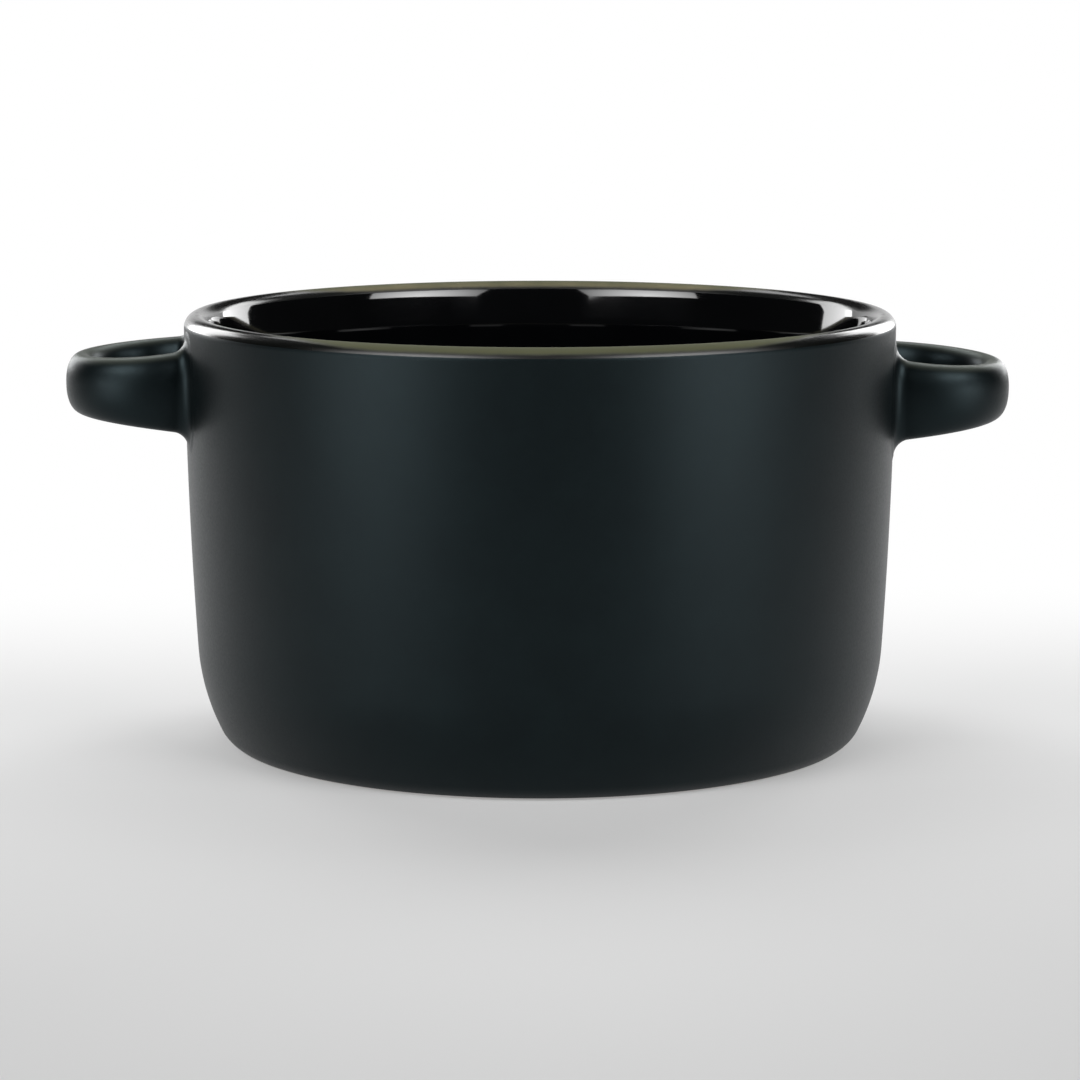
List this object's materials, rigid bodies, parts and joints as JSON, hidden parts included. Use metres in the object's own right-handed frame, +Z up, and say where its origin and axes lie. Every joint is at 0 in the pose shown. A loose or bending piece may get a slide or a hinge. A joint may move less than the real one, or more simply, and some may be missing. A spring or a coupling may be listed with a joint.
{
  "type": "soup crock",
  "caption": "Straight-sided stoneware soup crock with a loop handle on each side, satin black outside and gloss black inside, with the glaze breaking to brown on the rounded lip.",
  "frame": {"origin": "centre of the foot ring, on the table", "axes": "+Z up through the mouth, +X toward the right handle, -Y toward the viewer"},
  "size_m": [0.1692, 0.127, 0.0768],
  "materials": {
    "stoneware": "bare, fired",
    "slip": "bare, fired",
    "gloss_glaze": "gloss",
    "satin_glaze": "satin matte",
    "rim_glaze": "gloss, breaking to brown"
  },
  "bodies": {
    "root": {"crock_body": "stoneware", "liner_glaze": "gloss_glaze", "rim_glaze": "rim_glaze", "outer_glaze": "satin_glaze", "base_glaze": "gloss_glaze", "left_handle": "stoneware", "right_handle": "stoneware", "left_handle_glaze": "satin_glaze", "right_handle_glaze": "satin_glaze", "left_front_slip_joint": "slip", "left_back_slip_joint": "slip", "right_front_slip_joint": "slip", "right_back_slip_joint": "slip"}
  },
  "joints": []
}
